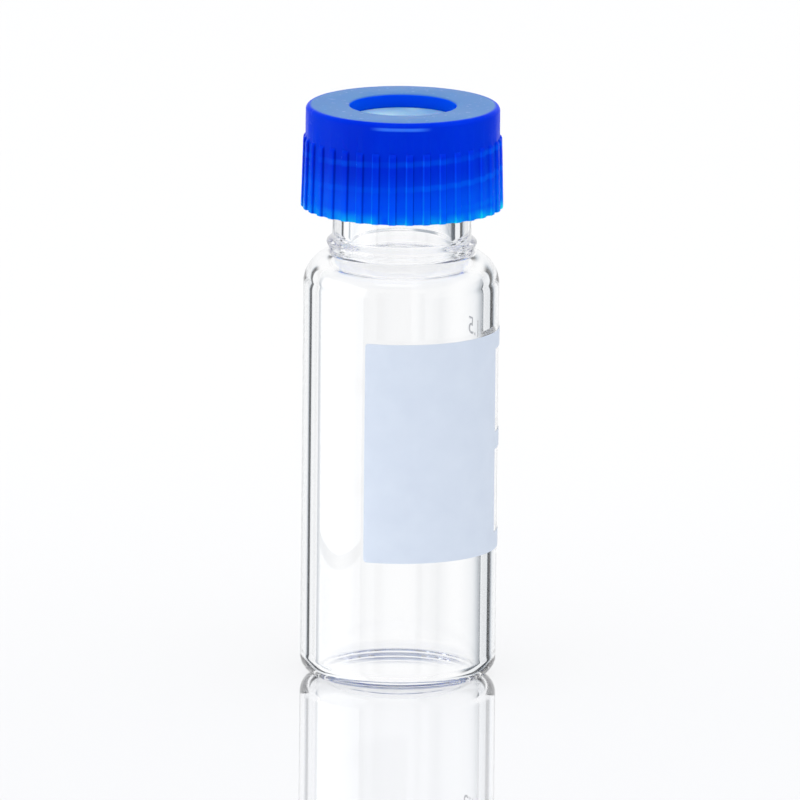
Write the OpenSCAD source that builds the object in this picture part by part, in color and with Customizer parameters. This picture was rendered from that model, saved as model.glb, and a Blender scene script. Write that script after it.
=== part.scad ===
// Screw-neck glass sample vial with an open-topped ribbed cap and a pierceable septum.
// Millimetres, +Z up. The origin is the centre of the base, on the surface that the vial stands on.
// The front, where the left part of the write-on field shows, faces -Y.

/* [Glass body] */
// Height of the glass alone, from its foot to its sealing lip
vial_h = 32; // [31:0.5:45]
// Outside diameter of the straight body
body_d = 11.6; // [11:0.1:14]
// Thickness of the body wall
wall_t = 0.95; // [0.7:0.05:1.2]
// Thickness of the base at its centre
base_t = 0.55; // [0.4:0.05:1.6]
// Outside radius where the wall turns into the base
heel_r = 1.15; // [0.8:0.05:1.6]
// Inside radius between the wall and the floor
floor_r = 0.5; // [0.3:0.05:2]
// Height of the hollow under the middle of the base
punt_h = 0.1; // [0.05:0.05:0.4]
// Width of the flat ring that the vial stands on
foot_w = 0.4; // [0.2:0.05:0.8]
// Outside radius of the shoulder
shoulder_r = 2; // [1.4:0.1:2.2]
// Inside radius between the wall and the sloping roof under the shoulder
corner_r = 0.95; // [0.5:0.05:1.1]
// Depth of the middle of that radius below the top of the shoulder
corner_drop = 1.9; // [1.6:0.05:2.1]
// Slope of the roof at both of its ends, from the level
roof_slope = 30; // [20:1:35]

/* [Glass neck] */
// Height from the top of the shoulder to the sealing lip
neck_h = 6.4; // [6:0.1:8]
// Outside diameter of the neck between its threads
neck_d = 8.26; // [7.8:0.02:8.6]
// Diameter of the bore through the neck
bore_d = 5.8; // [5.2:0.1:6.4]
// How much the bore widens along a cone on its way down to the shoulder
cone_w = 0.15; // [0.05:0.05:0.3]
// Height of that cone
cone_h = 1.2; // [0.8:0.1:2]
// Radius at which the cone turns out into the roof
flare_r = 0.5; // [0.3:0.05:0.7]
// Height of the middle of that radius above the top of the shoulder
flare_rise = -0.02; // [-0.1:0.02:0.2]
// Diameter of the bead below the cap
bead_d = 8.9; // [8.7:0.05:9.4]
// Height of the bead
bead_h = 0.9; // [0.7:0.05:1.1]
// Diameter of the pinch between the bead and the shoulder
pinch_d = 8.56; // [8.2:0.02:8.6]
// Height of the pinch, where the shoulder turns up into the bead
pinch_h = 0.05; // [0.02:0.01:0.2]
// Edge radius of the sealing lip, inside and outside
lip_r = 0.3; // [0.1:0.05:0.45]

/* [Screw thread] */
// Outside diameter of the glass thread
thread_d = 9; // [8.8:0.05:9.4]
// Rise of the thread in one turn
pitch = 1.5; // [1.4:0.05:2]
// Turns of thread on the glass, with both run-outs
glass_turns = 1.75; // [1:0.05:1.8]
// Height from the middle of the glass thread's upper end to the lip
thread_drop = 0.85; // [0.7:0.05:1.1]
// Width of a glass thread at the neck
glass_root_w = 1; // [0.8:0.05:1.05]
// Width of a cap thread at the cap's wall
cap_root_w = 0.9; // [0.7:0.05:0.95]
// Direction in which the middle of the glass thread's upper end lies, about +Z from +X
thread_end_angle = 90; // [0:5:360]

/* [Cap] */
// Height of the cap
cap_h = 6.1; // [5.6:0.1:6.6]
// Thickness of the cap's top plate
plate_t = 0.82; // [0.7:0.02:1.4]
// Diameter of the needle hole in the top plate
hole_d = 6.3; // [4:0.1:7]
// Thickness of the cap's wall in the smooth band above the ribs
cap_wall_t = 1.1; // [0.8:0.05:1.6]
// How much farther out the wall stands at the bottom edge than in the smooth band
draft = 0.1; // [0.02:0.02:0.2]
// Radius of the outer top edge
rim_r = 0.3; // [0.1:0.05:0.6]
// Radius of the needle hole's upper edge
hole_edge_r = 0.15; // [0.05:0.05:0.3]
// Width of the lead-in at the mouth of the cap
lead_in = 0.25; // [0.1:0.05:0.4]
// Chamfer of the wall's bottom edge
edge_w = 0.1; // [0.05:0.05:0.2]

/* [Grip ribs] */
// Number of ribs round the cap
rib_count = 36; // [24:4:44]
// How far a rib stands proud of the wall
rib_h = 0.15; // [0.08:0.01:0.25]
// Width of a rib at its crest
rib_crest_w = 0.3; // [0.2:0.05:0.4]
// Width of a rib where it meets the wall
rib_root_w = 0.55; // [0.45:0.05:0.7]
// Height of the smooth band above the ribs
band_h = 1.85; // [1.2:0.05:2.6]
// Direction of the first rib, about +Z from +X
rib_angle = 4.3; // [0:0.1:10]

/* [Septum] */
// Thickness of the soft disc
septum_t = 1.33; // [0.8:0.01:1.6]
// Thickness of the facing on its underside
facing_t = 0.2; // [0.1:0.02:0.3]

/* [Write-on field] */
// Height of the field's lower edge above the foot
field_z = 7.85; // [3:0.05:9]
// Height of the field
field_h = 13.2; // [9:0.1:14]
// Direction of the field's left edge, about +Z from +X
field_from = -111; // [-140:1:-60]
// Angle that the field covers
field_sweep = 95; // [60:1:150]
// Angle that each graduation bar runs on past the field
bar_sweep = 22; // [20:1:80]
// Width of a graduation bar
bar_w = 1.05; // [0.6:0.05:1.4]
// Corner radius of the field
field_corner_r = 0.2; // [0.1:0.05:0.8]
// Thickness of the fired print
print_t = 0.04; // [0.02:0.01:0.06]

/* [Clearances] */
// Radial gap between the glass thread's crest and the cap's wall
crest_gap = 0.15; // [0.08:0.01:0.25]
// Radial gap between the cap thread's crest and the neck
root_gap = 0.12; // [0.06:0.01:0.2]
// How far the closed cap's thread stands above the middle of its groove
thread_seat = 0.08; // [0:0.01:0.12]
// Gap between the septum's edge and the cap's wall
septum_gap = 0.15; // [0.05:0.01:0.2]

/* [Hidden] */
$fn = 96;

// Heights of the stack, from the foot up
shoulder_z = vial_h - neck_h;
plate_z = vial_h + facing_t + septum_t;
cap_top = plate_z + plate_t;
cap_z = cap_top - cap_h;
rib_top = cap_top - band_h;

// Radii
body_r = body_d / 2;
inner_r = body_r - wall_t;
neck_r = neck_d / 2;
bore_r = bore_d / 2;
foot_in_r = body_r - heel_r - foot_w;
bead_r = bead_d / 2;
pinch_r = pinch_d / 2;
glass_crest_r = thread_d / 2;
cap_bore_r = glass_crest_r + crest_gap;
cap_crest_r = neck_r + root_gap;
band_r = cap_bore_r + cap_wall_t;
skirt_r = band_r + draft;
hole_r = hole_d / 2;
septum_r = cap_bore_r - septum_gap;

// Round stretches of a profile take this many steps
arc_steps = 8;
// Rings of a thread in one turn, the angle over which its end fades out, and how deep its root is sunk
thread_rings = 36;
run_out = 60;
sink = 0.12;
// Share of a thread's root width that is left at its shoulders and at its crest
shoulder_share = 0.6;
crest_share = 0.3;
// Space kept between the cap's thread and what lies above and below it
thread_margin = 0.08;

// Height of the middle of the glass thread at direction a, one helix that both threads follow
function helix_z(a) = vial_h - thread_drop + pitch * (a - thread_end_angle) / 360;
function helix_angle(z) = thread_end_angle + 360 * (z - vial_h + thread_drop) / pitch;

// Points of an arc about [x, y], from angle a to angle b
function arc(x, y, r, a, b) =
    [for (i = [0:arc_steps]) [x + r * cos(a + (b - a) * i / arc_steps), y + r * sin(a + (b - a) * i / arc_steps)]];

// Where the shoulder's arc, drawn on from the pinch's width, leaves for the neck
shoulder_x = body_r - shoulder_r;
shoulder_end = acos((pinch_r + pinch_h - shoulder_x) / shoulder_r);

// Inside, the bore's cone curves out into a sloping roof, which curves down into the wall
corner_x = inner_r - corner_r;
corner_z = shoulder_z - corner_drop;
flare_x = bore_r + cone_w + flare_r;
flare_z = shoulder_z + flare_rise;

// Outline of the glass from the middle of the foot, out and up to the lip, then down the inside
glass_outline = concat(
    [for (i = [0:arc_steps]) [foot_in_r * i / arc_steps, punt_h * (1 - pow(i / arc_steps, 2))]],
    arc(body_r - heel_r, heel_r, heel_r, -90, 0),
    arc(shoulder_x, shoulder_z - shoulder_r, shoulder_r, 0, shoulder_end),
    bead_outline(shoulder_z + pinch_h),
    [[neck_r, vial_h - lip_r]],
    arc(neck_r - lip_r, vial_h - lip_r, lip_r, 0, 90),
    arc(bore_r + lip_r, vial_h - lip_r, lip_r, 90, 180),
    [[bore_r, flare_z + cone_h]],
    arc(flare_x, flare_z, flare_r, 180, 270 - roof_slope),
    arc(corner_x, corner_z, corner_r, 90 - roof_slope, 0),
    arc(inner_r - floor_r, base_t + punt_h + floor_r, floor_r, 0, -90),
    [[0, base_t + punt_h]]
);

// A full bead that rises from the pinch and falls back to the neck along one wave
function bead_outline(z) = [for (i = [0:arc_steps])
    let (rise = (1 - cos(360 * i / arc_steps)) / 2, foot = i < arc_steps / 2 ? pinch_r : neck_r)
    [foot + (bead_r - foot) * rise, z + bead_h * i / arc_steps]];

// Section of a thread at one ring, from its root over its crest, grown by swell from 0 to 1
function ridge_section(wall_r, crest_r, root_w, swell) =
    let (way = sign(crest_r - wall_r), root_r = wall_r - way * sink, tall = (crest_r - root_r) * swell)
    [
        [root_r, -way * root_w / 2],
        [root_r + tall * 0.75, -way * root_w * shoulder_share / 2],
        [root_r + tall, -way * root_w * crest_share / 2],
        [root_r + tall, way * root_w * crest_share / 2],
        [root_r + tall * 0.75, way * root_w * shoulder_share / 2],
        [root_r, way * root_w / 2]
    ];

// A helical ridge about Z from direction a to direction b, offset by rise from the common helix
module helical_ridge(wall_r, crest_r, root_w, a, b, rise) {
    rings = ceil(thread_rings * (b - a) / 360);
    corners = 6;
    points = [for (i = [0:rings])
        let (
            turn = a + (b - a) * i / rings,
            fade = min(1, (turn - a) / run_out, (b - turn) / run_out),
            section = ridge_section(wall_r, crest_r, root_w, max(0.1, sin(90 * fade)))
        )
        for (p = section) [p[0] * cos(turn), p[0] * sin(turn), helix_z(turn) + rise + p[1]]];
    sides = [for (i = [0:rings - 1], j = [0:corners - 1])
        let (k = (j + 1) % corners, low = i * corners, high = low + corners)
        for (face = [[low + j, low + k, high + j], [low + k, high + k, high + j]]) face];
    first = [[for (j = [0:corners - 1]) corners - 1 - j]];
    last = [[for (j = [0:corners - 1]) rings * corners + j]];
    polyhedron(points, concat(sides, first, last), convexity = 6);
}

module glass_vial() {
    color([0.9, 0.94, 0.96, 0.5]) union() {
        rotate_extrude() polygon(glass_outline);
        helical_ridge(neck_r, glass_crest_r, glass_root_w,
            thread_end_angle - 360 * glass_turns, thread_end_angle, 0);
    }
}

// One area of the print, cut along the radius: from direction a over sweep, with corners of radius r
module print_area(a, sweep, z, h, r) {
    half_w = body_r * sin(sweep / 2);
    rotate([90, 0, a + sweep / 2 + 90]) linear_extrude(body_d) polygon(concat(
        arc(half_w - r, z + h - r, r, 0, 90),
        arc(r - half_w, z + h - r, r, 90, 180),
        arc(r - half_w, z + r, r, 180, 270),
        arc(half_w - r, z + r, r, 270, 360)
    ));
}

module write_on_field() {
    // Each bar starts under the field, well back from the field's round corner
    overlap = 15;
    bar_end_r = bar_w / 2 - 0.01;
    color([0.85, 0.89, 0.95]) intersection() {
        rotate_extrude() translate([body_r, field_z]) square([print_t, field_h]);
        union() {
            print_area(field_from, field_sweep, field_z, field_h, field_corner_r);
            for (z = [field_z, field_z + (field_h - bar_w) / 2, field_z + field_h - bar_w])
                print_area(field_from + field_sweep - overlap, bar_sweep + overlap, z, bar_w, bar_end_r);
        }
    }
}

module septum_disc() {
    color([0.8, 0.9, 0.93]) translate([0, 0, vial_h + facing_t]) cylinder(r = septum_r, h = septum_t);
}

module septum_facing() {
    color([0.93, 0.95, 0.97]) translate([0, 0, vial_h]) cylinder(r = septum_r, h = facing_t);
}

// One grip rib on the +X side: its side view gives the draft and round top, its plan view the taper
module grip_rib() {
    round_r = rib_h * 2;
    intersection() {
        rotate([90, 0, 0]) linear_extrude(2 * rib_root_w, center = true) polygon(concat(
            [[cap_bore_r + cap_wall_t / 2, cap_z], [skirt_r + rib_h, cap_z]],
            arc(band_r + rib_h - round_r, rib_top - round_r, round_r, 0, 90),
            [[cap_bore_r + cap_wall_t / 2, rib_top]]
        ));
        translate([0, 0, cap_z]) linear_extrude(rib_top - cap_z) polygon([
            [cap_bore_r + cap_wall_t / 2, -rib_root_w / 2],
            [band_r, -rib_root_w / 2],
            [skirt_r + rib_h, -rib_crest_w / 2],
            [skirt_r + rib_h, rib_crest_w / 2],
            [band_r, rib_root_w / 2],
            [cap_bore_r + cap_wall_t / 2, rib_root_w / 2]
        ]);
    }
}

// Outline of the cap's wall and plate, from the mouth up the outside and down the inside
cap_outline = concat(
    [[cap_bore_r + lead_in, cap_z], [skirt_r - edge_w, cap_z], [skirt_r, cap_z + edge_w]],
    [[band_r, rib_top], [band_r, cap_top - rim_r]],
    arc(band_r - rim_r, cap_top - rim_r, rim_r, 0, 90),
    arc(hole_r + hole_edge_r, cap_top - hole_edge_r, hole_edge_r, 90, 180),
    [[hole_r, plate_z], [cap_bore_r, plate_z], [cap_bore_r, cap_z + lead_in]]
);

module screw_cap() {
    // The cap's thread fills the other half of the groove, between the mouth and the septum
    thread_low = cap_z + lead_in + cap_root_w / 2;
    thread_high = vial_h - thread_margin - cap_root_w / 2;
    rise = -pitch / 2 + thread_seat;
    color([0.02, 0.27, 0.88]) union() {
        rotate_extrude() polygon(cap_outline);
        for (i = [0:rib_count - 1]) rotate([0, 0, rib_angle + 360 * i / rib_count]) grip_rib();
        helical_ridge(cap_bore_r, cap_crest_r, cap_root_w,
            helix_angle(thread_low - rise), helix_angle(thread_high - rise), rise);
    }
}

glass_vial();
write_on_field();
septum_disc();
septum_facing();
screw_cap();
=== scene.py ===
import bpy
from math import acos, atan2, ceil, cos, degrees, hypot, pi, radians, sin
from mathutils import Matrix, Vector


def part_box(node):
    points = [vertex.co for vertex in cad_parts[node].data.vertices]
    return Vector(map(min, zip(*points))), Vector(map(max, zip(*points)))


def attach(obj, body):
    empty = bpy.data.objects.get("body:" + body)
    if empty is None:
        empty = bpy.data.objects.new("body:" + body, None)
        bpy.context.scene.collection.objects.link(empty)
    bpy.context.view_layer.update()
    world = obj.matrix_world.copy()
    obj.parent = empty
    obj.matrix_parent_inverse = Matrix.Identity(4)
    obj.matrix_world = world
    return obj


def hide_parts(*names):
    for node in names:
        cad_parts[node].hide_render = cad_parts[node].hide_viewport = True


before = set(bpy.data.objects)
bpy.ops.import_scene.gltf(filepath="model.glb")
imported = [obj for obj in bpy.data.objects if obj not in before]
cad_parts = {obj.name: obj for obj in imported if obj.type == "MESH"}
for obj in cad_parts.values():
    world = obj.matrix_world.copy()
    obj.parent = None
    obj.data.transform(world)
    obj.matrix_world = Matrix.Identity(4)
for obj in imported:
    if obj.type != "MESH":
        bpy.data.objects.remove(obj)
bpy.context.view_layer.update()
mm = 0.001
mergeGap = 0.002 * mm       # points nearer than this become one
white = (1, 1, 1)


# Editing helpers: everything is deselected before a new piece is started

def stopEditing():
    if bpy.context.object and bpy.context.object.mode != "OBJECT":
        bpy.ops.object.mode_set(mode="OBJECT")
    bpy.ops.object.select_all(action="DESELECT")


def pickOnly(piece):
    stopEditing()
    piece.select_set(True)
    bpy.context.view_layer.objects.active = piece


def startPoint(name, x, y, z):
    # A plane merged to one vertex, the start of an outline drawn point by point
    stopEditing()
    bpy.ops.mesh.primitive_plane_add(size=mm, location=(0, 0, 0))
    piece = bpy.context.object
    piece.name = name
    piece.data.name = name
    bpy.ops.object.mode_set(mode="EDIT")
    bpy.ops.mesh.select_mode(type="VERT")
    bpy.ops.mesh.select_all(action="SELECT")
    bpy.ops.mesh.merge(type="CENTER")
    bpy.ops.transform.translate(value=(x, y, z))
    return piece


def drawOutline(name, outline, closed=False):
    # The outline is (across, height) in millimetres, drawn from point to point in XZ
    points = [(x * mm, 0, z * mm) for x, z in outline]
    piece = startPoint(name, *points[0])
    if closed:
        points.append(points[0])
    for now, then in zip(points, points[1:]):
        step = [b - a for a, b in zip(now, then)]
        bpy.ops.mesh.extrude_region_move(TRANSFORM_OT_translate={"value": step})
    return piece


def mergeDoubles():
    bpy.ops.mesh.select_all(action="SELECT")
    bpy.ops.mesh.remove_doubles(threshold=mergeGap)
    bpy.ops.mesh.select_all(action="SELECT")


def cleanMesh():
    mergeDoubles()
    bpy.ops.mesh.normals_make_consistent(inside=False)
    bpy.ops.object.mode_set(mode="OBJECT")


def spinOutline(name, outline, columns):
    piece = drawOutline(name, outline)
    bpy.ops.mesh.select_all(action="SELECT")
    bpy.ops.mesh.spin(steps=columns, angle=2 * pi, center=(0, 0, 0), axis=(0, 0, 1))
    cleanMesh()
    bpy.ops.object.shade_smooth()
    return piece


def arcPoints(x, z, radius, startAngle, endAngle, steps=10):
    points = []
    for i in range(steps + 1):
        angle = radians(startAngle + (endAngle - startAngle) * i / steps)
        points.append((x + radius * cos(angle), z + radius * sin(angle)))
    return points


def rowsBetween(x, startZ, endZ, spacing):
    count = max(1, ceil(abs(endZ - startZ) / spacing))
    return [(x, startZ + (endZ - startZ) * i / count) for i in range(1, count)]


def smooth(t):
    t = min(1, max(0, t))
    return t * t * (3 - 2 * t)


# The screw thread that the glass and the cap share, in millimetres and degrees

thread = {
    "pitch": 1.5,
    "glassCrest": 4.5,
    "glassTurns": 1.75,
    "glassWidth": 1.0,
    "drop": 0.85,            # from the lip down to the upper end's middle
    "endDirection": 90,
    "capWall": 4.65,
    "capCrest": 4.25,
    "capWidth": 0.9,
    "seat": 0.08,            # the closed cap's thread stands this far above mid-groove
    "margin": 0.08,          # the cap's thread ends this far below the lip's height
    "runOut": 60,
    "crestShare": 0.3,
    "rowSpacing": 0.06,
    "wallReach": 0.01,       # points this near to the wall's radius are raised
}


def helixHeight(direction):
    return glassTop - thread["drop"] + thread["pitch"] * (direction - thread["endDirection"]) / 360


def helixDirection(height):
    return thread["endDirection"] + 360 * (height - glassTop + thread["drop"]) / thread["pitch"]


def ridgeShare(x, y, z, firstDirection, lastDirection, rise, width):
    # How much of the full ridge stands at a point of the wall, 0 to 1
    here = degrees(atan2(y, x))
    level = helixDirection(z - rise)
    turn = here + 360 * round((level - here) / 360)
    turn = max(turn, firstDirection + (here - firstDirection) % 360)
    turn = min(turn, lastDirection - (lastDirection - here) % 360)
    fade = smooth(min(turn - firstDirection, lastDirection - turn) / thread["runOut"])
    away = abs(z - rise - helixHeight(turn)) / (width / 2)
    flank = smooth((1 - away) / (1 - thread["crestShare"]))
    return fade * flank


def raiseThread(piece, wall, crest, firstDirection, lastDirection, rise, width):
    for vertex in piece.data.vertices:
        x, y, z = [v / mm for v in vertex.co]
        radius = hypot(x, y)
        if abs(radius - wall) < thread["wallReach"]:
            share = ridgeShare(x, y, z, firstDirection, lastDirection, rise, width)
            if share > 0:
                stretch = (wall + (crest - wall) * share) / radius
                vertex.co.x *= stretch
                vertex.co.y *= stretch


# Glass body: one formed piece from the foot to the lip

_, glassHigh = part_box("glass_vial")
capLow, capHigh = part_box("screw_cap")
glassTop = glassHigh[2] / mm
bodyRadius = glassHigh[0] / mm

glass = {
    "wall": 0.95,
    "base": 0.55,
    "heel": 1.15,
    "floor": 0.5,
    "punt": 0.1,
    "foot": 0.4,
    "shoulder": 2.0,
    "corner": 0.95,
    "cornerDrop": 1.9,      # from the top of the shoulder down to the corner's middle
    "roofSlope": 30,
    "flare": 0.5,
    "flareRise": -0.02,
    "neckHeight": 6.4,
    "neck": 4.13,
    "bore": 2.9,
    "coneWidth": 0.15,
    "coneHeight": 1.2,
    "bead": 4.45,
    "beadHeight": 0.9,
    "pinch": 4.28,
    "pinchHeight": 0.05,
    "lip": 0.3,
    "columns": 192,
    "puntRows": 6,
    "beadRows": 16,
}


def glassOutline():
    g = glass
    shoulderTop = glassTop - g["neckHeight"]
    shoulderX = bodyRadius - g["shoulder"]
    shoulderZ = shoulderTop - g["shoulder"]
    shoulderEnd = degrees(acos((g["pinch"] + g["pinchHeight"] - shoulderX) / g["shoulder"]))
    footIn = bodyRadius - g["heel"] - g["foot"]
    innerRadius = bodyRadius - g["wall"]
    # the roof inside is a straight slope between the corner's arc and the flare's
    cornerX, cornerZ = innerRadius - g["corner"], shoulderTop - g["cornerDrop"]
    flareX, flareZ = g["bore"] + g["coneWidth"] + g["flare"], shoulderTop + g["flareRise"]
    floorZ = g["base"] + g["punt"]
    beadLow = shoulderTop + g["pinchHeight"]
    beadTop = beadLow + g["beadHeight"]
    points = []
    for i in range(g["puntRows"] + 1):
        share = i / g["puntRows"]
        points.append((footIn * share, g["punt"] * (1 - share ** 2)))
    points += arcPoints(bodyRadius - g["heel"], g["heel"], g["heel"], -90, 0, 14)
    points += arcPoints(shoulderX, shoulderZ, g["shoulder"], 0, shoulderEnd, 18)
    # the bead rises from the pinch and falls to the neck
    for i in range(g["beadRows"] + 1):
        share = i / g["beadRows"]
        foot = g["pinch"] if share < 0.5 else g["neck"]
        swell = (1 - cos(2 * pi * share)) / 2
        points.append((foot + (g["bead"] - foot) * swell, beadLow + g["beadHeight"] * share))
    points += rowsBetween(g["neck"], beadTop, glassTop - g["lip"], thread["rowSpacing"])
    points += arcPoints(g["neck"] - g["lip"], glassTop - g["lip"], g["lip"], 0, 90)
    points += arcPoints(g["bore"] + g["lip"], glassTop - g["lip"], g["lip"], 90, 180)
    points.append((g["bore"], flareZ + g["coneHeight"]))
    points += arcPoints(flareX, flareZ, g["flare"], 180, 270 - g["roofSlope"], 12)
    points += arcPoints(cornerX, cornerZ, g["corner"], 90 - g["roofSlope"], 0, 12)
    points += arcPoints(innerRadius - g["floor"], floorZ + g["floor"], g["floor"], 0, -90, 14)
    points.append((0, floorZ))
    return points


print("modelling the glass")
glassBody = spinOutline("glass_body", glassOutline(), glass["columns"])
raiseThread(glassBody, glass["neck"], thread["glassCrest"], thread["endDirection"] - 360 * thread["glassTurns"],
            thread["endDirection"], 0, thread["glassWidth"])
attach(glassBody, "vial")
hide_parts("glass_vial")


# Write-on field with its graduation bars: flat outlines cut into strips and wrapped round the body

field = {
    "low": 7.85,
    "height": 13.2,
    "start": -111,
    "sweep": 95,
    "barSweep": 22,
    "barWidth": 1.05,
    "corner": 0.2,
    "thickness": 0.03,
    "gap": 0.008,            # air between glass and ink, so that no two faces share a place
    "strip": 0.25,
    "smoothAngle": 30,
}


def lengthAlong(angle):
    return bodyRadius * radians(angle)


def wrapRound(piece, startDirection, radius):
    # The flat piece lies in XZ with X running round the body
    for vertex in piece.data.vertices:
        direction = radians(startDirection) + vertex.co.x / (bodyRadius * mm)
        vertex.co.x = radius * mm * cos(direction)
        vertex.co.y = radius * mm * sin(direction)


def cutStrips(width, spacing):
    for i in range(1, ceil(width / spacing)):
        bpy.ops.mesh.select_all(action="SELECT")
        bpy.ops.mesh.bisect(plane_co=(i * spacing * mm, 0, 0), plane_no=(1, 0, 0))


def turnOutwards(piece):
    # An open sheet gets faces that point away from the body before it gets its thickness
    if sum(face.normal.x * face.center.x + face.normal.y * face.center.y for face in piece.data.polygons) < 0:
        pickOnly(piece)
        bpy.ops.object.mode_set(mode="EDIT")
        bpy.ops.mesh.select_all(action="SELECT")
        bpy.ops.mesh.flip_normals()
        bpy.ops.object.mode_set(mode="OBJECT")


def thicken(piece, thickness):
    pickOnly(piece)
    solid = piece.modifiers.new("thickness", "SOLIDIFY")
    solid.thickness = thickness * mm
    solid.offset = 1
    solid.use_even_offset = True
    bpy.ops.object.modifier_apply(modifier=solid.name)


def fieldOutline():
    f = field
    width = lengthAlong(f["sweep"])
    reach = lengthAlong(f["sweep"] + f["barSweep"])
    low, high = f["low"], f["low"] + f["height"]
    corner = f["corner"]
    half = f["barWidth"] / 2
    end = half - 0.001      # a hair less than half a bar keeps its corner points apart
    points = arcPoints(corner, low + corner, corner, 180, 270, 6)
    for bar, middle in enumerate((low + half, (low + high) / 2, high - half)):
        if bar > 0:
            points.append((width, middle - half))
        points += arcPoints(reach - end, middle, end, -90, 90, 10)
        if bar < 2:
            points.append((width, middle + half))
    points += arcPoints(corner, high - corner, corner, 90, 180, 6)
    return points, reach


print("printing the write-on field")
outline, reach = fieldOutline()
writeField = drawOutline("write_on_print", outline, closed=True)
mergeDoubles()
bpy.ops.mesh.edge_face_add()
cutStrips(reach, field["strip"])
bpy.ops.object.mode_set(mode="OBJECT")
wrapRound(writeField, field["start"], bodyRadius + field["gap"])
pickOnly(writeField)
bpy.ops.object.mode_set(mode="EDIT")
cleanMesh()
turnOutwards(writeField)
thicken(writeField, field["thickness"])
bpy.ops.object.shade_smooth_by_angle(angle=radians(field["smoothAngle"]))
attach(writeField, "vial")
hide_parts("write_on_field")


# Septum: a soft disc with a thin facing under it

holeRadius = 3.15           # the opening in the cap's top, where the septum shows

septum = {
    "edge": 0.06,
    "crown": 0.12,
    "crownEdge": 0.1,        # the crown starts this far inside the opening
    "crownRows": 12,
    "discGap": 0.002,        # air above and below the disc
    "facingGap": 0.004,      # and between the facing and the lip
    "columns": 128,
}


def discOutline(low, high, radius, crown=0, crownRadius=0):
    edge, rows = septum["edge"], septum["crownRows"]
    points = [(0, low)]
    points += arcPoints(radius - edge, low + edge, edge, -90, 0, 4)
    points += arcPoints(radius - edge, high - edge, edge, 0, 90, 4)
    if crown:
        for i in range(rows):
            share = 1 - i / rows
            points.append((crownRadius * share, high + crown * (1 + cos(pi * share)) / 2))
    points.append((0, high + crown))
    return points


print("making the septum")
discLow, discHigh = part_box("septum_disc")
facingLow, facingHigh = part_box("septum_facing")
septumDisc = spinOutline("silicone_disc", discOutline(
    discLow[2] / mm + septum["discGap"], discHigh[2] / mm - septum["discGap"], discHigh[0] / mm,
    septum["crown"], holeRadius - septum["crownEdge"]), septum["columns"])
septumFacing = spinOutline("facing_film", discOutline(
    facingLow[2] / mm + septum["facingGap"], facingHigh[2] / mm, facingHigh[0] / mm), septum["columns"])
for piece, node, slotName in (
    (septumDisc, "septum_disc", "silicone"),
    (septumFacing, "septum_facing", "facing_film"),
):
    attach(piece, "septum")
    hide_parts(node)


# Screw cap: one moulded piece with grip ribs outside and a thread inside

cap = {
    "plate": 0.82,
    "hole": holeRadius,
    "wall": 1.1,
    "draft": 0.1,
    "rim": 0.3,
    "holeEdge": 0.15,
    "leadIn": 0.25,
    "bottomEdge": 0.1,
    "skirtRows": 6,
    "ribs": 36,
    "ribHeight": 0.15,
    "ribCrest": 0.3,
    "ribRoot": 0.55,
    "ribShoulder": 0.3,      # each rib rounds over into the crown within this height
    "shoulderRows": 8,
    "shoulderReach": 0.4,    # and close rows of points stand there
    "band": 1.85,
    "firstRib": 4.3,
    "smoothAngle": 40,
    "ribColumns": (-5, -3.6, -2.9, -2.5, -2.0, -1.55, -1.2, -0.5, 0.5, 1.2, 1.55, 2.0, 2.5, 2.9, 3.6),
}


def capOutline():
    c = cap
    low, high = capLow[2] / mm, capHigh[2] / mm
    inner = thread["capWall"]
    band = inner + c["wall"]
    skirt = band + c["draft"]
    ribTop = high - c["band"]
    plateLow = high - c["plate"]
    skirtHeight = ribTop - c["shoulderReach"] - low - c["bottomEdge"]
    points = [(inner + c["leadIn"], low)]
    points += arcPoints(skirt - c["bottomEdge"], low + c["bottomEdge"], c["bottomEdge"], -90, 0, 4)
    rows = c["skirtRows"]
    for i in range(1, rows):
        points.append((skirt - c["draft"] * i / rows, low + c["bottomEdge"] + skirtHeight * i / rows))
    for i in range(c["shoulderRows"] + 1):
        # a hair of slope keeps the rows apart
        rise = c["shoulderReach"] * i / c["shoulderRows"]
        points.append((band + 0.0001 * i, ribTop - c["shoulderReach"] + rise))
    points += arcPoints(band - c["rim"], high - c["rim"], c["rim"], 0, 90, 8)
    points += arcPoints(c["hole"] + c["holeEdge"], high - c["holeEdge"], c["holeEdge"], 90, 180, 6)
    points += [(c["hole"], plateLow), (inner, plateLow)]
    points += rowsBetween(inner, plateLow, low + c["leadIn"], thread["rowSpacing"])
    points += [(inner, low + c["leadIn"]), (inner + c["leadIn"], low)]
    return points


def raiseRibs(piece):
    # Columns are moved to each rib's own directions, and the skirt's outside is raised along its crest
    c = cap
    columns = c["ribColumns"]
    count = len(columns)
    whole = count * c["ribs"]
    band = thread["capWall"] + c["wall"]
    ribTop = capHigh[2] / mm - c["band"]
    for vertex in piece.data.vertices:
        x, y, z = [v / mm for v in vertex.co]
        radius = hypot(x, y)
        place = round(degrees(atan2(y, x)) % 360 / 360 * whole) % whole
        offset = columns[place % count]
        direction = radians(c["firstRib"] + 360 / c["ribs"] * (place // count) + offset)
        if radius > band - c["bottomEdge"] - 0.02 and z < ribTop - 0.001:
            flank = (c["ribRoot"] / 2 - radius * radians(abs(offset))) / ((c["ribRoot"] - c["ribCrest"]) / 2)
            fall = max(0, 1 - (ribTop - z) / c["ribShoulder"])
            radius += c["ribHeight"] * smooth(flank) * (1 - fall * fall) ** 0.5
        vertex.co.x = radius * cos(direction) * mm
        vertex.co.y = radius * sin(direction) * mm


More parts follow.
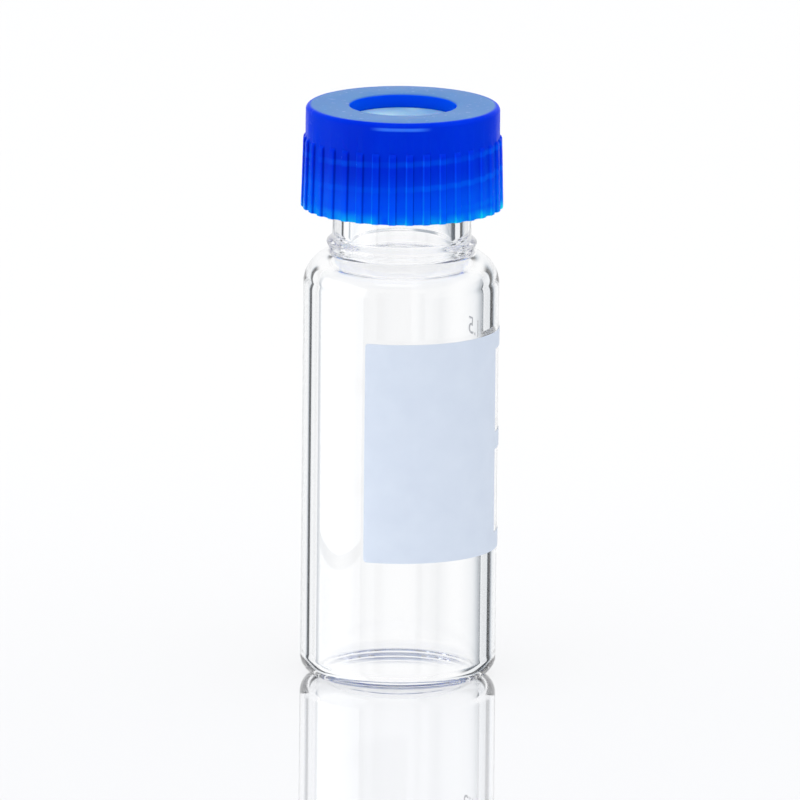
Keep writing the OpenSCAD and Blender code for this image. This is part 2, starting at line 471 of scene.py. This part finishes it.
print("moulding the cap")
screwCap = spinOutline("ribbed_cap", capOutline(), len(cap["ribColumns"]) * cap["ribs"])
raiseRibs(screwCap)
capRise = thread["seat"] - thread["pitch"] / 2
capThreadLow = capLow[2] / mm + cap["leadIn"] + thread["capWidth"] / 2
capThreadHigh = glassTop - thread["margin"] - thread["capWidth"] / 2
raiseThread(screwCap, thread["capWall"], thread["capCrest"], helixDirection(capThreadLow - capRise),
            helixDirection(capThreadHigh - capRise), capRise, thread["capWidth"])
pickOnly(screwCap)
bpy.ops.object.shade_smooth_by_angle(angle=radians(cap["smoothAngle"]))
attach(screwCap, "cap")
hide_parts("screw_cap")


# Plain volume figures after the bars, wrapped like the field

figures = {
    "words": ("0.5", "1.0", "1.5"),
    "size": 1.5,
    "stretch": 1.3,
    "gap": 0.6,
    "room": 3,               # no figure is wider than this
    "strip": 0.2,
    "thickness": 0.02,
}


def addFigure(text, middleZ):
    stopEditing()
    bpy.ops.object.text_add(location=(0, 0, 0))
    words = bpy.context.object
    words.data.body = text
    words.data.size = figures["size"] * mm
    words.data.align_y = "CENTER"
    bpy.ops.object.convert(target="MESH")
    piece = bpy.context.object
    piece.name = "figure_" + text.replace(".", "_")
    piece.data.name = piece.name
    start = lengthAlong(field["sweep"] + field["barSweep"]) + figures["gap"]
    for vertex in piece.data.vertices:
        across, up = vertex.co.x * figures["stretch"], vertex.co.y
        vertex.co = (across + start * mm, 0, up + middleZ * mm)
    bpy.ops.object.mode_set(mode="EDIT")
    cutStrips(start + figures["room"], figures["strip"])
    bpy.ops.object.mode_set(mode="OBJECT")
    wrapRound(piece, field["start"], bodyRadius + field["gap"])
    turnOutwards(piece)
    thicken(piece, figures["thickness"])
    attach(piece, "vial")
    return piece


print("adding the volume figures")
fieldMiddle = field["low"] + field["height"] / 2
barStep = (field["height"] - field["barWidth"]) / 2
figurePieces = [addFigure(text, fieldMiddle + barStep * (i - 1)) for i, text in enumerate(figures["words"])]


# Node helpers for the surfaces and the studio

def newMaterial(name):
    material = bpy.data.materials.new(name)
    material.use_nodes = True
    tree = material.node_tree
    return material, tree, tree.nodes["Principled BSDF"]


def setSockets(shader, **values):
    for label, value in values.items():
        shader.inputs[label.replace("_", " ")].default_value = value


def ownPlace(tree):
    return tree.nodes.new("ShaderNodeTexCoord").outputs["Object"]


def splitAxes(tree, vector):
    axes = tree.nodes.new("ShaderNodeSeparateXYZ")
    tree.links.new(vector, axes.inputs[0])
    return axes.outputs


def noiseAt(tree, scale, detail=3, stretch=(1, 1, 1)):
    mapping = tree.nodes.new("ShaderNodeMapping")
    mapping.inputs["Scale"].default_value = stretch
    noise = tree.nodes.new("ShaderNodeTexNoise")
    noise.inputs["Scale"].default_value = scale
    noise.inputs["Detail"].default_value = detail
    tree.links.new(ownPlace(tree), mapping.inputs["Vector"])
    tree.links.new(mapping.outputs["Vector"], noise.inputs["Vector"])
    return noise.outputs["Fac"]


def spread(tree, value, low, high):
    # Most of a noise lies between 0.3 and 0.7
    ramp = tree.nodes.new("ShaderNodeMapRange")
    ramp.inputs["From Min"].default_value = 0.3
    ramp.inputs["From Max"].default_value = 0.7
    ramp.inputs["To Min"].default_value = low
    ramp.inputs["To Max"].default_value = high
    tree.links.new(value, ramp.inputs["Value"])
    return ramp.outputs["Result"]


def easeBetween(tree, value, low, high):
    ease = tree.nodes.new("ShaderNodeMapRange")
    ease.interpolation_type = "SMOOTHSTEP"
    ease.inputs["From Min"].default_value = low
    ease.inputs["From Max"].default_value = high
    tree.links.new(value, ease.inputs["Value"])
    return ease.outputs["Result"]


def mathStep(tree, operation, a, b=None, c=None):
    node = tree.nodes.new("ShaderNodeMath")
    node.operation = operation
    for socket, value in zip(node.inputs, (a, b, c)):
        if value is None:
            continue
        if isinstance(value, (int, float)):
            socket.default_value = value
        else:
            tree.links.new(value, socket)
    return node.outputs[0]


def multiply(tree, a, b):
    return mathStep(tree, "MULTIPLY", a, b)


def mixColours(tree, share, first, second, blend="MIX"):
    mix = tree.nodes.new("ShaderNodeMix")
    mix.data_type = "RGBA"
    mix.blend_type = blend
    tree.links.new(share, mix.inputs[0])
    for socket, colour in ((mix.inputs[6], first), (mix.inputs[7], second)):
        if isinstance(colour, tuple):
            socket.default_value = (*colour, 1)
        else:
            tree.links.new(colour, socket)
    return mix.outputs[2]


def cloudedColour(tree, value, colours):
    return mixColours(tree, spread(tree, value, 0, 1), *colours)


def colourRamp(tree, value, stops):
    ramp = tree.nodes.new("ShaderNodeValToRGB")
    elements = ramp.color_ramp.elements
    elements.remove(elements[-1])
    for i, (position, colour) in enumerate(stops):
        stop = elements[0] if i == 0 else elements.new(1)
        stop.position = position
        stop.color = (*colour, 1)
    tree.links.new(value, ramp.inputs[0])
    return ramp.outputs["Color"]


def addBump(tree, shader, value, distance, strength=0.3):
    bump = tree.nodes.new("ShaderNodeBump")
    bump.inputs["Distance"].default_value = distance
    bump.inputs["Strength"].default_value = strength
    tree.links.new(value, bump.inputs["Height"])
    tree.links.new(bump.outputs["Normal"], shader.inputs["Normal"])


def directionRound(tree, axes):
    # Degrees round the upright middle line, from +X
    return multiply(tree, mathStep(tree, "ARCTAN2", axes[1], axes[0]), 180 / pi)


def radiusFrom(tree, place):
    # Distance from the upright middle line
    flat = tree.nodes.new("ShaderNodeVectorMath")
    flat.operation = "MULTIPLY"
    flat.inputs[1].default_value = (1, 1, 0)
    tree.links.new(place, flat.inputs[0])
    length = tree.nodes.new("ShaderNodeVectorMath")
    length.operation = "LENGTH"
    tree.links.new(flat.outputs[0], length.inputs[0])
    return length.outputs["Value"]


# Clear glass

glassFinish = {
    "colour": (0.99, 0.993, 0.997),
    "ior": 1.49,
}


def clearGlass():
    material, _, shader = newMaterial("clearBorosilicate")
    setSockets(shader, Base_Color=(*glassFinish["colour"], 1), Roughness=0, IOR=glassFinish["ior"],
               Transmission_Weight=1)
    return material


# Blue plastic: the thick top is deep blue, and painted light makes the thin skirt and the pierced plate paler,
# where more light would show through them; the ribs, rim and top face carry painted shade, highlights and sheen

plastic = {
    "lightDepth": 0.35,
    "lightDepthByColour": (0.15, 0.5, 1.0),
    "skirtBlueAndLightColours": ((0.0002, 0.092, 0.94), (0.0002, 0.120, 0.98)),
    "crownColours": ((0.0002, 0.026, 0.66), (0.0002, 0.038, 0.76)),
    "skirtToCrown": (0.35, 3.4),        # heights above the cap's mouth
    "grooveLightColour": (0.0004, 0.15, 0.96),
    "grooveEdge": (0.55, 1),
    "grooveTop": (4.6, 3.6),
    "grooveLightShare": 0.5,
    "mouthLightColour": (0.002, 0.42, 1),
    "mouthLightTop": (0.75, 0.1),
    "mouthLightShare": 0.9,
    "ribReach": (5.6, 5.7),             # distances from the middle
    "ribEnd": (-0.1, 0.3),              # depths below the crown's band
    "ribPaintedShades": (                      # degrees from a rib's middle, and how painted light and shade raise or lower its colour
        (-5, white), (-2.6, white), (-2.2, (4, 1.6, 1.15)), (-1.9, (9, 2.2, 1.3)), (-1.5, white),
        (1.7, white), (2.1, (0.9, 0.5, 0.7)), (2.4, (0.9, 0.5, 0.7)), (2.8, white), (5, white),
    ),
    "plateLightColour": (0.0004, 0.082, 0.84),
    "plateReach": (5.6, 5.35),
    "plateDepth": (1.5, 1),             # depths below the cap's top
    "topSheenColours": ((0.06, 0.18, 0.47), (0.10, 0.23, 0.52)),
    "topSheenDepth": (0.1, 0.03),
    # painted highlight under the rim
    "rimHighlightColour": (0.06, 0.26, 0.92),
    "highlightLow": (0.52, 0.4),
    "highlightHigh": (0.24, 0.32),
    "highlightsRound": 3,
    "highlightTurn": 91,
    "highlightEdge": (0.5, 0.95),
    "highlightShare": 0.8,
}


def overMouth(heights):
    return [capLow[2] + height * mm for height in heights]


def underTop(depths):
    return [capHigh[2] - depth * mm for depth in depths]


def wallColourAndLight(tree, height, direction):
    p = plastic
    flow = noiseAt(tree, 260, 4, (1, 1, 0.4))
    skirt = cloudedColour(tree, flow, p["skirtBlueAndLightColours"])
    crown = cloudedColour(tree, flow, p["crownColours"])
    # painted light: the skirt is painted paler than the crown, where light would show through its thinner wall
    wall = mixColours(tree, easeBetween(tree, height, *overMouth(p["skirtToCrown"])), skirt, crown)
    # the wall is thinner over the groove of its thread and thinnest at the mouth, and painted light makes it paler
    # there, where light would show through
    fullTurn = 2 * pi / thread["pitch"]
    grooveTurn = mathStep(tree, "MULTIPLY_ADD", height, fullTurn / mm, -fullTurn * helixHeight(0))
    phase = mathStep(tree, "SUBTRACT", grooveTurn, multiply(tree, direction, pi / 180))
    groove = easeBetween(tree, mathStep(tree, "COSINE", phase), *p["grooveEdge"])
    groove = multiply(tree, groove, easeBetween(tree, height, *overMouth(p["grooveTop"])))
    cloud = spread(tree, noiseAt(tree, 420, 2, (1, 1, 0.5)), 0, p["grooveLightShare"])
    wall = mixColours(tree, multiply(tree, groove, cloud), wall, p["grooveLightColour"])
    patches = spread(tree, noiseAt(tree, 700, 1), 0, p["mouthLightShare"])
    mouth = multiply(tree, easeBetween(tree, height, *overMouth(p["mouthLightTop"])), patches)
    return mixColours(tree, mouth, wall, p["mouthLightColour"])


def paintRibShades(tree, wall, height, direction, reach):
    # Painted light and shade: one flank of each rib is painted lighter and the other darker, as if light fell from
    # one side
    step = 360 / cap["ribs"]
    fromRib = mathStep(tree, "WRAP", mathStep(tree, "SUBTRACT", direction, cap["firstRib"]), step / 2, -step / 2)
    stops = [(offset / step + 0.5, shade) for offset, shade in plastic["ribPaintedShades"]]
    shade = colourRamp(tree, mathStep(tree, "MULTIPLY_ADD", fromRib, 1 / step, 0.5), stops)
    ribEnd = underTop([cap["band"] + depth for depth in plastic["ribEnd"]])
    onRibs = multiply(tree, easeBetween(tree, reach, *[r * mm for r in plastic["ribReach"]]),
                      easeBetween(tree, height, *ribEnd))
    return mixColours(tree, onRibs, wall, shade, "MULTIPLY")


def paintRimHighlight(tree, side, height, direction):
    # Painted highlight: the rim is painted paler in patches round it, where a lamp in front would shine on its
    # rounded edge
    p = plastic
    line = multiply(tree, easeBetween(tree, height, *underTop(p["highlightLow"])),
                    easeBetween(tree, height, *underTop(p["highlightHigh"])))
    turn = p["highlightsRound"] * pi / 180
    wave = mathStep(tree, "COSINE", mathStep(tree, "MULTIPLY_ADD", direction, turn, turn * p["highlightTurn"]))
    patch = multiply(tree, easeBetween(tree, wave, *p["highlightEdge"]), p["highlightShare"])
    return mixColours(tree, multiply(tree, line, patch), side, p["rimHighlightColour"])


def bluePlastic():
    p = plastic
    material, tree, shader = newMaterial("bluePolypropylene")
    setSockets(shader, IOR=1.49, Specular_IOR_Level=0.01, Subsurface_Weight=1,
               Subsurface_Scale=p["lightDepth"] * mm, Subsurface_Radius=p["lightDepthByColour"])
    place = ownPlace(tree)
    axes = splitAxes(tree, place)
    height, direction, reach = axes[2], directionRound(tree, axes), radiusFrom(tree, place)
    wall = wallColourAndLight(tree, height, direction)
    side = paintRimHighlight(tree, paintRibShades(tree, wall, height, direction, reach), height, direction)
    # painted sheen: the top face is painted pale blue, as a grazing reflection of the bright studio would make it
    topSheen = cloudedColour(tree, noiseAt(tree, 160, 3), p["topSheenColours"])
    # painted light: round the opening the plate and the opening's wall are painted paler, as light showing through
    # the thin plate
    plate = mixColours(tree, easeBetween(tree, height, *underTop(p["topSheenDepth"])), p["plateLightColour"], topSheen)
    onPlate = multiply(tree, easeBetween(tree, reach, *[r * mm for r in p["plateReach"]]),
                       easeBetween(tree, height, *underTop(p["plateDepth"])))
    tree.links.new(mixColours(tree, onPlate, side, plate), shader.inputs["Base Color"])
    grain = noiseAt(tree, 2500, 2)
    tree.links.new(spread(tree, grain, 0.2, 0.28), shader.inputs["Roughness"])
    addBump(tree, shader, grain, 0.01 * mm, 0.15)
    return material


# Fired inks of the field and the figures, and the septum's silicone and film

ink = {
    "fieldColours": ((0.66, 0.735, 0.86), (0.69, 0.765, 0.885)),
    "figureColours": ((0.52, 0.53, 0.52), (0.6, 0.61, 0.6)),
    "backLightColour": (0.97, 0.98, 1),
    "backBlend": 0.004,                 # depth over which the front colour gives way to it
}

softFinish = {
    "siliconeAndSheenColours": ((0.20, 0.46, 0.66), (0.52, 0.80, 0.84)),
    "filmColours": ((0.78, 0.86, 0.93), (0.84, 0.9, 0.95)),
}


def paintedLitBack(tree, colour):
    # Painted light: the side of a print that faces the glass is painted nearly white, standing in for the light
    # that reaches it through the glass
    middle = bodyRadius + field["gap"] + figures["thickness"] / 2
    back = easeBetween(tree, radiusFrom(tree, ownPlace(tree)), middle * mm, (middle - ink["backBlend"]) * mm)
    return mixColours(tree, back, colour, ink["backLightColour"])


def fieldInk():
    material, tree, shader = newMaterial("firedCeramicInk")
    setSockets(shader, IOR=1.45, Specular_IOR_Level=0.3)
    mottle = noiseAt(tree, 700, 5)
    colour = cloudedColour(tree, mottle, ink["fieldColours"])
    tree.links.new(paintedLitBack(tree, colour), shader.inputs["Base Color"])
    tree.links.new(spread(tree, mottle, 0.5, 0.62), shader.inputs["Roughness"])
    addBump(tree, shader, noiseAt(tree, 6000, 3), 0.004 * mm, 0.3)
    return material


def figureInk():
    material, tree, shader = newMaterial("greyFigureInk")
    mottle = noiseAt(tree, 3000, 3)
    colour = cloudedColour(tree, mottle, ink["figureColours"])
    tree.links.new(paintedLitBack(tree, colour), shader.inputs["Base Color"])
    tree.links.new(spread(tree, mottle, 0.5, 0.65), shader.inputs["Roughness"])
    return material


def siliconeRubber():
    material, tree, shader = newMaterial("paleSilicone")
    setSockets(shader, IOR=1.41, Subsurface_Weight=0.6, Subsurface_Scale=0.6 * mm)
    # the disc's pale colour, with a painted blue cast reflected from the cap around it and painted sheen in paler
    # streaks
    cloud = noiseAt(tree, 420, 3, (1, 0.35, 1))
    colour = cloudedColour(tree, cloud, softFinish["siliconeAndSheenColours"])
    tree.links.new(colour, shader.inputs["Base Color"])
    tree.links.new(spread(tree, cloud, 0.25, 0.4), shader.inputs["Roughness"])
    addBump(tree, shader, cloud, 0.02 * mm, 0.3)
    return material


def facingFilm():
    material, tree, shader = newMaterial("fluoropolymerFilm")
    setSockets(shader, IOR=1.36)
    skive = noiseAt(tree, 1500, 3, (1, 0.15, 1))
    colour = cloudedColour(tree, skive, softFinish["filmColours"])
    tree.links.new(colour, shader.inputs["Base Color"])
    tree.links.new(spread(tree, skive, 0.3, 0.42), shader.inputs["Roughness"])
    return material


print("finishing the surfaces")
figureFinish = figureInk()
for piece, material in (
    (glassBody, clearGlass()),
    (writeField, fieldInk()),
    (septumDisc, siliconeRubber()),
    (septumFacing, facingFilm()),
    (screwCap, bluePlastic()),
    *((figure, figureFinish) for figure in figurePieces),
):
    piece.data.materials.clear()
    piece.data.materials.append(material)


# Floor, light and camera

stage = {
    "floorSize": 3,
    "floorDrop": 0.00002,
    "floorColour": (0.93, 0.94, 0.965),
    "mirrorShare": 0.8,
    "dimReach": (-0.06, 0.09),
    "frontShadeColour": (0.945, 0.95, 0.965),
    "backgroundColour": (1, 1, 0.985),
    # grey level of the studio by degrees from straight ahead, to the right
    "wallLines": (          # for light that stays inside one wall of the tube
        (-90, 0.95), (-58, 0.9), (-55, 0.45), (-51.5, 0.45), (-50.5, 0.97), (-33, 0.97), (-32, 0.6), (-31, 0.005),
        (-26, 0.005), (-24, 0.35), (-22, 0.85), (-17, 0.95), (0, 0.97), (11, 0.9), (15, 0.8), (19, 0.5), (22, 0.2),
        (25, 0.005), (31, 0.002), (32.5, 0.6), (33.5, 0.9), (50, 0.9), (51, 0.1), (62, 0.15), (70, 0.6), (90, 0.95),
    ),
    "insideLines": (        # and for light that comes through both walls
        (-90, 1), (-80, 1), (-68, 0.78), (-36, 0.8), (-28, 0.9), (-20, 0.97), (-12, 1), (10, 1), (14, 0.99),
        (18, 0.94), (22, 0.84), (26, 0.68), (32, 0.45), (68, 0.42), (80, 1), (90, 1),
    ),
    "mirrorLines": (        # and for light mirrored off the outside
        (-90, 1), (-68, 1), (-56, 0.8), (-51, 0.15), (-41, 0.15), (-36, 1), (36, 1), (41, 0.06), (52, 0.06),
        (60, 0.7), (70, 1), (90, 1),
    ),
    "overheadReach": (0.5, 0.7),
    "overheadColour": (0.24, 0.31, 0.49),
    "lineMiddle": -0.2,     # the uprights stand between these heights of view
    "lineReach": (0.3, 0.5),
}


def layFloor():
    stopEditing()
    bpy.ops.mesh.primitive_plane_add(size=stage["floorSize"], location=(0, 0, -stage["floorDrop"]))
    floor = bpy.context.object
    floor.name = "studio_floor"
    material = bpy.data.materials.new("paleGlossTable")
    material.use_nodes = True
    tree = material.node_tree
    tree.nodes.clear()
    diffuse = tree.nodes.new("ShaderNodeBsdfDiffuse")
    diffuse.inputs["Color"].default_value = (*stage["floorColour"], 1)
    mirror = tree.nodes.new("ShaderNodeBsdfGlossy")
    mirror.inputs["Roughness"].default_value = 0
    # painted shade: the table's mirror is tinted a little darker towards its front edge
    dimming = easeBetween(tree, splitAxes(tree, ownPlace(tree))[1], *stage["dimReach"])
    tree.links.new(mixColours(tree, dimming, stage["frontShadeColour"], white), mirror.inputs["Color"])
    table = tree.nodes.new("ShaderNodeMixShader")
    table.inputs[0].default_value = stage["mirrorShare"]
    tree.links.new(diffuse.outputs[0], table.inputs[1])
    tree.links.new(mirror.outputs[0], table.inputs[2])
    # light that has passed through the glass goes on to the bright studio below
    clear = tree.nodes.new("ShaderNodeBsdfTransparent")
    path = tree.nodes.new("ShaderNodeLightPath")
    choose = tree.nodes.new("ShaderNodeMixShader")
    tree.links.new(path.outputs["Is Transmission Ray"], choose.inputs[0])
    tree.links.new(table.outputs[0], choose.inputs[1])
    tree.links.new(clear.outputs[0], choose.inputs[2])
    out = tree.nodes.new("ShaderNodeOutputMaterial")
    tree.links.new(choose.outputs[0], out.inputs["Surface"])
    floor.data.materials.append(material)


def coolGrey(level):
    # Darker greys lean to blue
    return (level * (0.82 + 0.18 * level), level, min(1, level * (1.2 - 0.2 * level)))


def greyBand(tree, place, stops):
    return colourRamp(tree, place, [((angle + 90) / 180, coolGrey(level)) for angle, level in stops])


def lightWorld():
    world = bpy.data.worlds.new("brightStudio")
    bpy.context.scene.world = world
    world.use_nodes = True
    tree = world.node_tree
    tree.nodes.clear()
    axes = splitAxes(tree, tree.nodes.new("ShaderNodeTexCoord").outputs["Generated"])
    turn = mathStep(tree, "WRAP", directionRound(tree, axes), 180, 0)
    place = mathStep(tree, "DIVIDE", mathStep(tree, "SUBTRACT", 180, turn), 180)
    path = tree.nodes.new("ShaderNodeLightPath")
    twoWalls = mathStep(tree, "GREATER_THAN", path.outputs["Transmission Depth"], 3)
    lines = mixColours(tree, twoWalls, greyBand(tree, place, stage["wallLines"]),
                       greyBand(tree, place, stage["insideLines"]))
    away = mathStep(tree, "ABSOLUTE", mathStep(tree, "SUBTRACT", axes[2], stage["lineMiddle"]))
    surround = mixColours(tree, easeBetween(tree, away, *stage["lineReach"]), lines, white)
    overhead = easeBetween(tree, axes[2], *stage["overheadReach"])
    surround = mixColours(tree, overhead, surround, stage["overheadColour"])
    # only what is seen or mirrored meets the toned studio, and matt surfaces are lit by plain white
    matt = mathStep(tree, "GREATER_THAN", path.outputs["Diffuse Depth"], 0)
    surround = mixColours(tree, matt, surround, white)
    # the table itself mirrors plain white, and the uprights show only in the glass standing on it
    offGlass = mathStep(tree, "GREATER_THAN", path.outputs["Glossy Depth"], 1)
    uprights = mixColours(tree, offGlass, white, greyBand(tree, place, stage["mirrorLines"]))
    mirrored = mixColours(tree, matt, uprights, white)
    soft = tree.nodes.new("ShaderNodeBackground")
    soft.inputs["Color"].default_value = (*white, 1)
    latest = soft.outputs[0]
    for ray, colour in (
        ("Is Glossy Ray", mirrored),
        ("Is Transmission Ray", surround),
        ("Is Camera Ray", stage["backgroundColour"]),
    ):
        sky = tree.nodes.new("ShaderNodeBackground")
        if isinstance(colour, tuple):
            sky.inputs["Color"].default_value = (*colour, 1)
        else:
            tree.links.new(colour, sky.inputs["Color"])
        choose = tree.nodes.new("ShaderNodeMixShader")
        tree.links.new(path.outputs[ray], choose.inputs[0])
        tree.links.new(latest, choose.inputs[1])
        tree.links.new(sky.outputs[0], choose.inputs[2])
        latest = choose.outputs[0]
    out = tree.nodes.new("ShaderNodeOutputWorld")
    tree.links.new(latest, out.inputs["Surface"])


# Directions are degrees round from the camera's side towards +X, and sizes are metres
softBoxes = {
    "leftSoftBox": {"direction": -72, "elevation": 6.8, "distance": 0.034, "width": 0.04, "height": 0.0393,
                    "power": 0.0108, "onlyMirrored": True},
    "topSoftBox": {"direction": -10, "elevation": 70, "distance": 0.4, "width": 0.3, "height": 0.2,
                   "power": 0.2, "onlyMirrored": False},
}
aimHeight = 0.016           # the lamps' directions are taken from this height on the middle line


def addSoftBox(name, box):
    light = bpy.data.lights.new(name, "AREA")
    light.shape = "RECTANGLE"
    light.size = box["width"]
    light.size_y = box["height"]
    light.energy = box["power"]
    lamp = bpy.data.objects.new(name, light)
    bpy.context.collection.objects.link(lamp)
    direction, elevation = radians(box["direction"]), radians(box["elevation"])
    flatWay, rise = box["distance"] * cos(elevation), box["distance"] * sin(elevation)
    lamp.location = (flatWay * sin(direction), -flatWay * cos(direction), rise + aimHeight)
    lamp.rotation_euler = (radians(90 - box["elevation"]), 0, direction)
    lamp.visible_camera = False
    if box["onlyMirrored"]:
        lamp.visible_diffuse = False
        lamp.visible_transmission = False


view = {
    "elevation": 12.1,
    "distance": 2.0,
    "fieldWidth": 0.04734,
    "side": -0.00001,
    "height": 0.0165,
    "lean": 0.56,
    "sensor": 36,
    "farEnd": 20,
}


def placeCamera():
    camera = bpy.data.cameras.new("camera")
    camera.sensor_width = view["sensor"]
    camera.lens = view["sensor"] * view["distance"] / view["fieldWidth"]
    camera.clip_end = view["farEnd"]
    eye = bpy.data.objects.new("camera", camera)
    bpy.context.collection.objects.link(eye)
    up = radians(view["elevation"])
    eye.location = (view["side"], -view["distance"] * cos(up), view["height"] + view["distance"] * sin(up))
    eye.rotation_mode = "ZYX"
    eye.rotation_euler = (radians(90) - up, 0, radians(view["lean"]))
    bpy.context.scene.camera = eye


print("setting the stage")
layFloor()
lightWorld()
for name, box in softBoxes.items():
    addSoftBox(name, box)
placeCamera()
bpy.context.scene.view_settings.view_transform = "Standard"
# light is passed on through the thick base and neck many times over before it leaves the glass
glassBounces = 48
mattBounces = 16
bpy.context.scene.cycles.max_bounces = glassBounces
bpy.context.scene.cycles.transmission_bounces = glassBounces
bpy.context.scene.cycles.glossy_bounces = glassBounces
bpy.context.scene.cycles.diffuse_bounces = mattBounces
